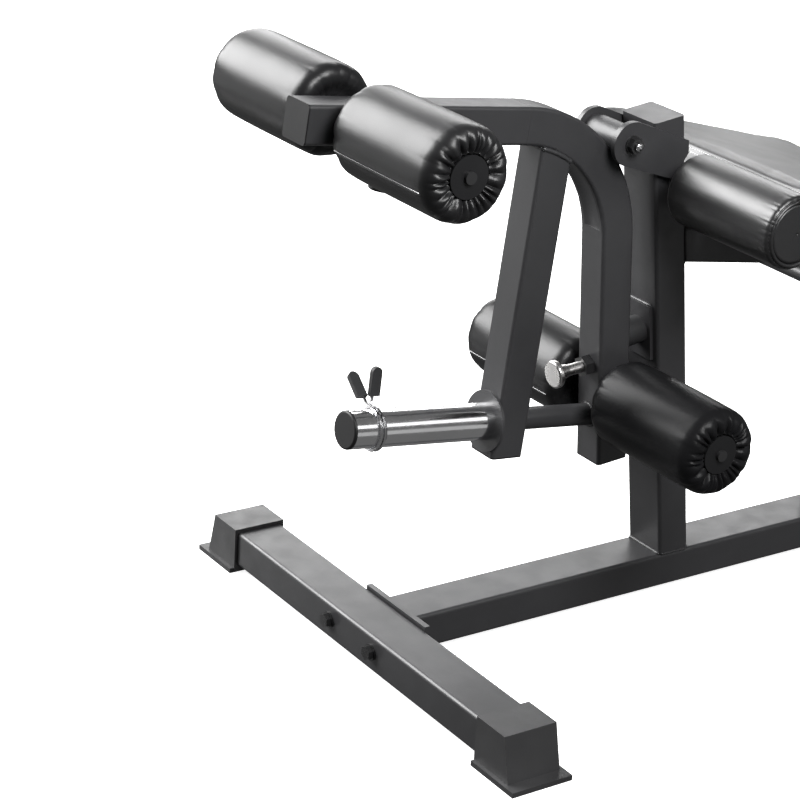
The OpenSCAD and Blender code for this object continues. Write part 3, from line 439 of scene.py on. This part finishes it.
# ---------------------------------------------------------------- knee roller
KNEE = (X0 + 413.0, 0.0, 612.0)
KNEE_R, KNEE_L, KNEE_Y = 48.0, 200.0, 70.0  # radius, length, and inner end from the middle
KNEE_COLS, KNEE_FOLDS, KNEE_STITCHES = 300, 34, 58
PANEL_R, PIPE_R = 37.5, 41.3  # end panel, and the middle of the piping round it
KNEE_BORE, KNEE_BLIND = 14.75, 24.0  # bore, and what is closed at its outer end


def knee_profile():
    """(radius, along) from the end panel over the piping, along, and back in the bore."""
    R, L = KNEE_R, KNEE_L
    out = []
    for r in np.linspace(0.05, PANEL_R, 14):
        out.append((r, L - 1.9 + 1.2 * math.cos(r / PANEL_R * math.pi / 2)))
    out += [(38.1, L - 3.4), (38.6, L - 4.8), (39.0, L - 3.6)]
    for a in np.linspace(160, 15, 10):
        a = math.radians(a)
        out.append((PIPE_R + 2.3 * math.cos(a), L - 2.3 + 2.4 * math.sin(a)))
    out += [(43.6, L - 4.4), (44.0, L - 3.4)]
    for a in np.linspace(70, 0, 10):
        a = math.radians(a)
        out.append((R - 5.2 + 5.2 * math.cos(a), L - 9.4 + 7.0 * math.sin(a)))
    for y in np.linspace(L - 14, 14, 44):
        out.append((R - 0.3 + 0.3 * math.sin(math.pi * y / L), y))
    for a in np.linspace(0, 80, 12):
        a = math.radians(a)
        out.append((R - 10 + 10 * math.cos(a), 10 - 9.8 * math.sin(a)))
    for r in np.linspace(36, 15.5, 8):
        out.append((r, 0.2 + (36 - r) * 0.03))
    out += [(KNEE_BORE, 1.0), (KNEE_BORE, L - KNEE_BLIND), (6.0, L - KNEE_BLIND + 0.5),
            (1.0, L - KNEE_BLIND + 0.5)]
    return out


def knee_roller():
    """Cover with a piped end panel, gathered at the shoulder, with the panel's stitches."""
    R, L = KNEE_R, KNEE_L

    def shape(r, y, th):
        push = np.zeros(len(th))
        if r < 16 and y < L - 5:
            return push
        push += 0.2 * swell(th, 1.4, 5, y / 60)
        if r > R - 6:
            h, d = pleats(th, KNEE_FOLDS, 5, 0.8, 1.0)
            near = np.exp(-min(abs(L - 8 - y), abs(y - 8)) / 9.0)
            push += (0.55 if y > L / 2 else 0.15) * d * (1 - h) * near
        if r < 38 and y > L - 5:
            push += 0.12 * swell(th, r / 14, 0, 9)
        return push

    prof = knee_profile()
    verts = revolve(prof, KNEE_COLS, shape, KNEE, -1, KNEE_Y)
    piece("knee_pad_cover", verts, grid_faces(len(prof), KNEE_COLS, True), knee_vinyl,
          "knee_roller", replaces="knee_pad")
    v, f = [], []
    for k in range(KNEE_STITCHES):
        a = 2 * math.pi * k / KNEE_STITCHES
        n = Vector((0.35 * math.cos(a), -1, 0.35 * math.sin(a))).normalized()
        c = Vector((KNEE[0] + 44.6 * math.cos(a), -(KNEE_Y + L - 3.0),
                    KNEE[2] + 44.6 * math.sin(a)))
        capsule(v, f, c, Vector((-math.sin(a), 0, math.cos(a))), n, 3.4, 0.6)
    piece("knee_pad_stitches", [p * MM for p in v], f, plastic, "knee_roller")


knee_roller()


# ---------------------------------------------------------------- cushions
def loop(l, w, r, inset, n):
    """Rounded rectangle with its corner radius, drawn in by inset, as n points."""
    a, b = l / 2 - inset, w / 2 - inset
    rr = min(max(r - inset * 0.6, 4.0), a, b)
    cx, cy = a - rr, b - rr  # middle of a corner's round
    arc = math.pi / 2 * rr
    # Each side: where it starts, the way it runs and its length, and its corner's middle.
    sides = [((a, -cy), (0, 1), 2 * cy, (cx, cy)), ((cx, b), (-1, 0), 2 * cx, (-cx, cy)),
             ((-a, cy), (0, -1), 2 * cy, (-cx, -cy)), ((-cx, -b), (1, 0), 2 * cx, (cx, -cy))]
    total = sum(side[2] for side in sides) + 4 * arc
    pts = []
    for k in range(n):
        s = k / n * total
        for q, (start, way, length, middle) in enumerate(sides):
            if s <= length:
                pts.append((start[0] + way[0] * s, start[1] + way[1] * s))
                break
            s -= length
            if s <= arc:
                t = math.pi / 2 * q + s / rr
                pts.append((middle[0] + rr * math.cos(t), middle[1] + rr * math.sin(t)))
                break
            s -= arc
    return pts


CORNER_R = 13.0  # of the hide over the pads, in plan
EDGE_R = 6.0  # round of the cushion's upper and lower edge
TOP_DROP, TOP_IN = 8.0, 8.0  # the top panel begins this far up and in from the sides
BULGE, CROWN = 2.5, 5.0  # of the sides and of the top
LOOP_POINTS, SEAM_POINTS = 288, 900


def cushion_mesh(l, w, t):
    """Closed cushion, bottom on -t and top on 0, built of drawn-in loops."""
    n = LOOP_POINTS
    low = CROWN * 0.2  # how much lower the top's edge lies
    rows = []
    for k in (0.98, 0.8, 0.5, 0.2, 0.06):
        rows.append((k * w / 2, -t))
    for a in np.linspace(80, 0, 5):
        a = math.radians(a)
        rows.append((BULGE + EDGE_R - EDGE_R * math.cos(a), -t + EDGE_R - EDGE_R * math.sin(a)))
    for s in np.linspace(0.0, 1.0, 9):
        rows.append((BULGE * (1 - math.sin(math.pi * s)) * 0.9,
                     -t + EDGE_R + s * (t - EDGE_R - TOP_DROP)))
    for a in np.linspace(8, 90, 9):
        a = math.radians(a)
        rows.append((BULGE * 0.9 + EDGE_R - EDGE_R * math.cos(a),
                     -TOP_DROP + (TOP_DROP - 1 - low) * math.sin(a)))
    for k in (0.10, 0.14, 0.2, 0.3, 0.42, 0.55, 0.7, 0.85, 0.98):
        s = (k * w / 2 - TOP_IN) / (w / 2)
        rows.append((k * w / 2, -1 - low + (low + 0.6) * math.sin(s * math.pi / 2)))
    verts = [(x, y, z) for inset, z in rows for x, y in loop(l, w, CORNER_R, inset, n)]
    faces = grid_faces(len(rows), n)
    faces.append(tuple(reversed(range(n))))
    faces.append(tuple((len(rows) - 1) * n + k for k in range(n)))
    return verts, faces


VOXEL = 0.005  # of the mesh that the cloth moves, in metres
PUFF_FRAMES, PUFF_PRESSURE = 20, 4.0
PUFF_CAP = 0.004  # no point of a cushion moves further
PIN_HEIGHT = 0.004  # points this near the back stay where they are


def coords(items, name):
    """One vector of every vertex or polygon, as rows."""
    out = np.empty(len(items) * 3)
    items.foreach_get(name, out)
    return out.reshape(-1, 3)


def puff(o, floor_z):
    """Swells a closed mesh as cloth, caps how far points move, and keeps its back flat."""
    bpy.ops.object.select_all(action="DESELECT")
    o.select_set(True)
    bpy.context.view_layer.objects.active = o
    rm = o.modifiers.new("remesh", "REMESH")
    rm.mode = "VOXEL"
    rm.voxel_size = VOXEL
    bpy.ops.object.modifier_apply(modifier=rm.name)
    rest = coords(o.data.vertices, "co")
    group = o.vertex_groups.new(name="pin")
    low = rest[:, 2].min()
    pins = [i for i in range(len(rest)) if rest[i, 2] < low + PIN_HEIGHT]
    group.add(pins, 1.0, "REPLACE")
    c = o.modifiers.new("cloth", "CLOTH")
    c.settings.use_pressure = True
    c.settings.uniform_pressure_force = PUFF_PRESSURE
    c.settings.effector_weights.gravity = 0.0
    c.settings.vertex_group_mass = "pin"
    c.settings.quality = 4
    c.point_cache.frame_start = 1
    c.point_cache.frame_end = PUFF_FRAMES
    scene = bpy.context.scene
    for fr in range(1, PUFF_FRAMES + 1):
        scene.frame_set(fr)
    dep = bpy.context.evaluated_depsgraph_get()
    moved = coords(o.evaluated_get(dep).to_mesh().vertices, "co")
    o.evaluated_get(dep).to_mesh_clear()
    o.modifiers.remove(c)
    scene.frame_set(1)
    d = moved - rest
    ln = np.linalg.norm(d, axis=1, keepdims=True)
    rest = rest + d * np.minimum(1, PUFF_CAP / np.maximum(ln, 1e-9))
    o.vertex_groups.clear()
    rest[:, 2] = np.maximum(rest[:, 2], floor_z)
    o.data.vertices.foreach_set("co", rest.ravel())
    o.data.update()


SEAM_INSET, SEAM_Z = 4.0, -9.0  # the sewn edge round the top panel
SEAM_DIP, SEAM_WIDTH = 1.5, 2.6  # how far the hide dips there, and how wide
SEAM_ROWS = (-8.5, -14.0)  # heights of the stitches, above the edge and below
SEAM_PITCH = 4.4
UNEVEN, UNEVEN_SPAN = 0.5, 60.0  # depth and size of the hide's slow unevenness


def cushion(name, body, slot, l, w, t, place, replaces, seed):
    """Cushion with a boxed side, a sewn edge and two rows of stitches; place maps local mm."""
    verts, faces = cushion_mesh(l + 1, w + 1, t - 0.5)
    o = solid(name, [(x * MM, y * MM, (z + 0.8) * MM) for x, y, z in verts], faces)
    puff(o, -(t - 0.3) * MM)
    sub = o.modifiers.new("fine", "SUBSURF")
    sub.levels = sub.render_levels = 1
    bpy.ops.object.modifier_apply(modifier=sub.name)
    # The hide dips along the sewn edge, and is a little uneven all over.
    path = loop(l, w, CORNER_R, SEAM_INSET, SEAM_POINTS)
    kd = KDTree(len(path))
    for i, (x, y) in enumerate(path):
        kd.insert((x, y, SEAM_Z), i)
    kd.balance()
    me = o.data
    co = coords(me.vertices, "co") / MM
    normals = coords(me.vertices, "normal")
    for i, p in enumerate(co):
        if abs(p[0]) > l / 2 - 40 or abs(p[1]) > w / 2 - 40:
            dist = kd.find(p)[2]
            if dist < 16:
                co[i] += normals[i] * (-SEAM_DIP * math.exp(-(dist / SEAM_WIDTH) ** 2))
        level = noise.noise(Vector((p[0] / UNEVEN_SPAN, p[1] / UNEVEN_SPAN, seed)))
        co[i] += normals[i] * UNEVEN * level
    for axis, low, high in ((0, -l / 2 - 2, l / 2 + 2), (1, -w / 2 - 2, w / 2 + 2),
                            (2, -t + 0.35, 3)):
        co[:, axis] = np.clip(co[:, axis], low, high)
    placed = np.array([place(p) for p in co]) * MM
    me.vertices.foreach_set("co", placed.ravel())
    me.update()
    me.materials.clear()
    me.materials.append(FINISH[slot])
    me.shade_smooth()
    dress(o, body, replaces)
    # The stitches lie on the finished surface.
    tree = BVHTree.FromPolygons([tuple(p) for p in co], [tuple(q.vertices) for q in me.polygons])
    v, f = [], []
    pts = loop(l, w, CORNER_R, 0.0, int(2 * (l + w) / SEAM_PITCH))
    for z in SEAM_ROWS:
        for k, (x, y) in enumerate(pts):
            x2, y2 = pts[(k + 1) % len(pts)]
            along = Vector((x2 - x, y2 - y, 0)).normalized()
            out = Vector((along.y, -along.x, 0))
            c, n = tree.ray_cast(Vector((x, y, z)) + out * 20, -out)[:2]
            if c is None:
                continue
            a = along - n * along.dot(n)
            if a.length > 1e-6:
                capsule(v, f, c + n * 0.25, a, n, 2.9, 0.55)
    piece(name + "_stitches", [Vector(place(p)) * MM for p in v], f, thread, body)


def frame_of(origin, ex, ey, ez):
    """Maps local points to the part's own axes."""
    return lambda p: tuple(origin[i] + p[0] * ex[i] + p[1] * ey[i] + p[2] * ez[i]
                           for i in range(3))


SEAT_SLOPE, BACK_LEAN = math.radians(14.5), math.radians(15.0)
seat_ex = (math.cos(SEAT_SLOPE), 0.0, -math.sin(SEAT_SLOPE))
seat_ez = (math.sin(SEAT_SLOPE), 0.0, math.cos(SEAT_SLOPE))
SEAT_L, SEAT_W, PAD_T = 372.0, 440.0, 52.0
SEAT_AT = (476.0, 644.7)  # middle of the front edge of the seat's top
seat_o = (X0 + SEAT_AT[0] + SEAT_L / 2 * seat_ex[0], 0.0, SEAT_AT[1] + SEAT_L / 2 * seat_ex[2])
cushion("seat_pad_cover", "frame", "seat_vinyl", SEAT_L, SEAT_W, PAD_T,
        frame_of(seat_o, seat_ex, (0, 1, 0), seat_ez), "seat_pad", 1.0)

back_ex = (math.sin(BACK_LEAN), 0.0, math.cos(BACK_LEAN))
back_ez = (-math.cos(BACK_LEAN), 0.0, math.sin(BACK_LEAN))
BACK_L, BACK_W = 600.0, 260.0
BACK_START = 70.0  # hinge to the pad's lower end, along the backrest
BACK_TUBE_HALF, BOARD_T = 25.0, 12.0
back_mid = BACK_START + BACK_L / 2
back_rise = BACK_TUBE_HALF + BOARD_T + PAD_T
hinge = joints["back_hinge"]["pos_m"]
back_o = (hinge[0] / MM + back_mid * back_ex[0] + back_rise * back_ez[0], 0.0,
          hinge[2] / MM + back_mid * back_ex[2] + back_rise * back_ez[2])
cushion("back_pad_cover", "backrest", "back_vinyl", BACK_L, BACK_W, PAD_T,
        frame_of(back_o, back_ex, (0, -1, 0), back_ez), "back_pad", 4.0)


# ---------------------------------------------------------------- pivot bolt's bright end
bolt = nodes["pivot_bolt"]
bolt_y = min((bolt.matrix_world @ v.co).y for v in bolt.data.vertices) / MM
pivot = joints["lever_pivot"]["pos_m"]
DOME_R, DOME_H, DOME_COLS = 5.6, 2.6, 48  # radius, height and points round it
dome = [(0.05, DOME_H)]
dome += [(DOME_R * math.sin(math.radians(a)), DOME_H * math.cos(math.radians(a)))
         for a in range(12, 91, 13)]
dome += [(5.7, -0.8), (4.9, -1.6), (0.05, -1.6)]
dome_points = revolve(dome, DOME_COLS, lambda r, y, th: np.zeros(len(th)),
                      (pivot[0] / MM, 0.0, pivot[2] / MM), -1, -bolt_y)
piece("pivot_bolt_end", dome_points, grid_faces(len(dome), DOME_COLS, True), chrome, "frame")


# ---------------------------------------------------------------- weld beads
WELD_SIDES = 10  # points round a bead
WELD_STEP, WELD_RIPPLE = 0.9, 3.4  # between a bead's rings, and between its ripples


def weld(name, points, body, radius, closed=False, seed=0):
    """Bead along a path in mm, with the ripples that a torch leaves."""
    pts = [Vector(p) for p in points]
    if closed:
        pts.append(pts[0])
    dense = []
    for a, b in zip(pts, pts[1:]):
        n = max(1, int((b - a).length / WELD_STEP))
        dense += [a.lerp(b, i / n) for i in range(n)]
    dense.append(pts[-1])
    sides, verts = WELD_SIDES, []
    run = 0.0
    last = len(dense) - 1
    for i, p in enumerate(dense):
        t = (dense[min(i + 1, last)] - dense[max(i - 1, 0)]).normalized()
        ref = Vector((0, 0, 1)) if abs(t.z) < 0.9 else Vector((1, 0, 0))
        a = t.cross(ref).normalized()
        b = t.cross(a)
        run += (p - dense[max(i - 1, 0)]).length
        k = 0.86 + 0.14 * abs(math.sin(math.pi * run / WELD_RIPPLE))
        k += 0.10 * noise.noise(Vector((run / 9, seed, 0)))
        end = 1.0 if closed else min(1.0, 0.35 + i / 4, 0.35 + (last - i) / 4)
        for s in range(sides):
            ang = 2 * math.pi * s / sides
            verts.append((p + (a * math.cos(ang) + b * math.sin(ang)) * radius * k * end) * MM)
    faces = grid_faces(len(dense), sides)
    faces.append(tuple(reversed(range(sides))))
    faces.append(tuple(last * sides + s for s in range(sides)))
    piece(name, verts, faces, coat_black, body)


def ring_points(c, r, ex, ey, n=48):
    """Points of a circle about c in the plane of ex and ey."""
    out = []
    for k in range(n):
        a = 2 * math.pi * k / n
        out.append([c[i] + r * (math.cos(a) * ex[i] + math.sin(a) * ey[i]) for i in range(3)])
    return out


def across(x, z, half):
    """Straight path across the machine."""
    return [(x, -half, z), (x, half, z)]


SIDES = ((-1, "near"), (1, "far"))

# Brace to the inside of the lever's bend.
LEVER_HALF = 25.0
BEND_R = 182.0
TURN = math.pi / 2 - ARM_TILT - LEG_TILT
bend_t = BEND_R * math.tan(TURN / 2)
BEND = (X0 + CORNER[0] - bend_t * math.cos(ARM_TILT) - BEND_R * math.sin(ARM_TILT),
        CORNER[1] + bend_t * math.sin(ARM_TILT) - BEND_R * math.cos(ARM_TILT))
BRACE_TILT = math.radians(5.7)
BRACE_AT = (190.1, 349.5)  # a point on the brace's middle line


def brace_x(z, offset):
    """X at height z of the line that runs beside the brace's middle line."""
    return (X0 + BRACE_AT[0] + (z - BRACE_AT[1]) * math.tan(BRACE_TILT)
            + offset / math.cos(BRACE_TILT))


def brace_hit(offset):
    """Point where a line of the brace meets the bend's inner wall."""
    r = BEND_R - LEVER_HALF
    z = BEND[1] + r
    for _ in range(40):
        x = brace_x(z, offset)
        z = BEND[1] + math.sqrt(max(r * r - (x - BEND[0]) ** 2, 0.0))
    return x, z


top_line = [brace_hit(o) for o in np.linspace(-LEVER_HALF, LEVER_HALF, 14)]
for s, side in SIDES:
    weld("brace_weld_" + side, [(x, s * 24.6, z - 0.8) for x, z in top_line], "lever", 3.1,
         seed=s)
for k, side in ((0, "front"), (-1, "rear")):
    x, z = top_line[k]
    weld("brace_weld_" + side, across(x, z - 0.6, 22), "lever", 2.6, seed=5 + k)

# Upright to the floor beam.
UP = math.radians(7.9)
UPRIGHT_D, BEAM_TOP = 50.0, 61.0
foot_front = X0 + 456.0
foot_rear = foot_front + UPRIGHT_D / math.cos(UP)
weld("upright_weld_front", across(foot_front, BEAM_TOP + 0.6, 33), "frame", 3.0)
weld("upright_weld_rear", across(foot_rear, BEAM_TOP + 0.6, 33), "frame", 3.0, seed=2)
for s, side in SIDES:
    weld("upright_weld_" + side, [(x, s * 34.4, BEAM_TOP + 0.4)
                                  for x in (foot_front + 3, foot_rear - 3)],
         "frame", 1.9, seed=3 + s)


def upright_front(z):
    return foot_front - (z - BEAM_TOP) * math.tan(UP)


def upright_rear(z):
    return foot_rear - (z - BEAM_TOP) * math.tan(UP)


# Bench beam to the upright.
BENCH = math.radians(8.8)
BENCH_D = 50.0
BENCH_AT = (459.8, 492.4)  # a point on the bench beam's underside


def bench_hit(rise):
    """Height at which the line rise above the beam's underside meets the upright."""
    z = BENCH_AT[1] + rise
    for _ in range(20):
        z = BENCH_AT[1] + rise - (upright_rear(z) - X0 - BENCH_AT[0]) * math.tan(BENCH)
    return z


low_z, high_z = bench_hit(0.0), bench_hit(BENCH_D / math.cos(BENCH))
for z, side, drop in ((low_z, "low", -0.4), (high_z, "top", 0.4)):
    weld("bench_weld_" + side, across(upright_rear(z), z + drop, 33), "frame", 2.6, seed=z)
for s, side in SIDES:
    weld("bench_weld_" + side, [(upright_rear(low_z) + 0.3, s * 34.5, low_z + 3),
                                (upright_rear(high_z) + 0.3, s * 34.5, high_z - 3)],
         "frame", 1.8, seed=9 + s)

# Stop plate, top and bottom edge on the upright's front face.
STOP_Z = 397.0
for dz, side in ((39.2, "top"), (-39.2, "low")):
    z = STOP_Z + dz * math.cos(UP)
    weld("stop_weld_" + side, across(upright_front(z) - 1.2, z, 23), "frame", 2.8, seed=dz)

# Cross bar, where it enters the brace and the lever's leg.
SLEEVE = math.radians(7.2)
sleeve_ex = (math.cos(SLEEVE), 0.0, -math.sin(SLEEVE))
sleeve_up = (math.sin(SLEEVE), 0.0, math.cos(SLEEVE))
SLEEVE_AT = (-56.7, 333.6)  # middle of the weight sleeve's outer end
BAR_R = 16.0


def sleeve_point(u):
    return (X0 + SLEEVE_AT[0] + u * sleeve_ex[0], 0.0, SLEEVE_AT[1] + u * sleeve_ex[2])


def brace_rear(z):
    return brace_x(z, LEVER_HALF)


def leg_front(z):
    return (X0 + CORNER[0] + (CORNER[1] - z) * math.tan(LEG_TILT)
            - LEVER_HALF / math.cos(LEG_TILT))


def on_axis_hit(side_x):
    """Point of the sleeve's axis where side_x(z) crosses it."""
    u = 250.0
    for _ in range(40):
        p = sleeve_point(u)
        u += (side_x(p[2]) - p[0]) / sleeve_ex[0]
    return sleeve_point(u)


for nm, face, off in (("crossbar_weld_front", brace_rear, 0.4),
                      ("crossbar_weld_rear", leg_front, -0.4)):
    ring = ring_points(on_axis_hit(face), BAR_R, sleeve_up, (0, 1, 0))
    weld(nm, [(face(z) + off, y, z) for x, y, z in ring], "lever", 2.3, closed=True, seed=BAR_R)

# Floor beam to its end flanges, and the knee axle to the upright.
for nm, x, s in (("flange_weld_front", X0 + 43.0, 0.6), ("flange_weld_rear", X0 + 1157.0, -0.6)):
    for y0, y1, z0, z1, tag in ((-33, 33, 61.5, 61.5, "top"), (-35.4, -35.4, 16, 59, "near"),
                                (35.4, 35.4, 16, 59, "far")):
        weld(nm + "_" + tag, [(x + s, y0, z0), (x + s, y1, z1)], "frame", 2.2, seed=x + y0)
weld("knee_axle_weld", ring_points((KNEE[0], -35.2, KNEE[2]), 10.8, (1, 0, 0), (0, 0, 1)),
     "frame", 2.0, closed=True, seed=4)

# ---------------------------------------------------------------- stage and light
def card(name, corners, material):
    """Flat four-cornered sheet of the studio."""
    me = bpy.data.meshes.new(name)
    me.from_pydata(corners, [], [(0, 1, 2, 3)])
    me.materials.append(material)
    o = bpy.data.objects.new(name, me)
    bpy.context.scene.collection.objects.link(o)
    return o


# The floor glows to the photograph's white, and gives no light to the part itself.
floor_mat = surface("floor", (0.80, 0.80, 0.80), 0.75, spec=0.1, tone=0.01, grain=0)
glow = floor_mat.node_tree.nodes["Principled BSDF"]
glow.inputs["Emission Color"].default_value = (1, 1, 1, 1)
glow.inputs["Emission Strength"].default_value = 0.92
FLOOR_HALF, FLOOR_Z = 30, -0.0004
floor = card("floor", [(x * FLOOR_HALF, y * FLOOR_HALF, FLOOR_Z)
                       for x, y in ((-1, -1), (1, -1), (1, 1), (-1, 1))], floor_mat)
floor.visible_glossy = floor.visible_diffuse = floor.visible_shadow = False

world = bpy.data.worlds.new("studio")
bpy.context.scene.world = world
world.use_nodes = True
sky = world.node_tree.nodes["Background"]
sky.inputs["Color"].default_value = (1, 1, 1, 1)
sky.inputs["Strength"].default_value = 0.14


def softbox(name, place, target, width, height, radiance):
    """Area light of a given radiance, turned to its target and unseen by the camera."""
    data = bpy.data.lights.new(name, "AREA")
    data.shape = "RECTANGLE"
    data.size, data.size_y = width, height
    data.energy = math.pi * width * height * radiance
    o = bpy.data.objects.new(name, data)
    d = Vector(place) - Vector(target)
    o.matrix_world = Matrix.Translation(place) @ d.to_track_quat("Z", "Y").to_matrix().to_4x4()
    o.visible_camera = False
    bpy.context.scene.collection.objects.link(o)


# The bounces below the floor stand for the pale sweep that the part reflects.
CENTRE = (-0.15, 0.0, 0.45)
softbox("key", (-2.30, 3.1, 2.60), CENTRE, 3.2, 3.1, 18.0)
softbox("back_low", (2.05, 3.8, 2.00), CENTRE, 3.3, 2.5, 5.0)
softbox("bounce_left", (-2.75, 2.8, -0.15), CENTRE, 2.4, 1.0, 1.2)
softbox("bounce_leg", (-1.95, 3.0, -1.25), CENTRE, 0.45, 0.7, 3.6)
softbox("bounce_near", (1.60, -3.0, -0.40), CENTRE, 2.4, 1.2, 0.3)
softbox("front_right", (1.95, -3.0, 1.95), CENTRE, 2.0, 1.0, 1.3)
softbox("front_high", (-0.45, -1.55, 2.00), (-0.25, 0.0, 0.60), 1.0, 1.0, 25.0)

# A black card that keeps the back light off the lower rollers, as a studio flag does.
FLAG_X, FLAG_Y, FLAG_Z = (-0.05, 0.95), 1.0, (0.72, 1.02)
flag = card("flag", [(FLAG_X[0], FLAG_Y, FLAG_Z[0]), (FLAG_X[1], FLAG_Y, FLAG_Z[0]),
                     (FLAG_X[1], FLAG_Y, FLAG_Z[1]), (FLAG_X[0], FLAG_Y, FLAG_Z[1])],
            surface("flag_black", (0.004, 0.004, 0.004), 0.9, spec=0.0, grain=0))
flag.visible_camera = False
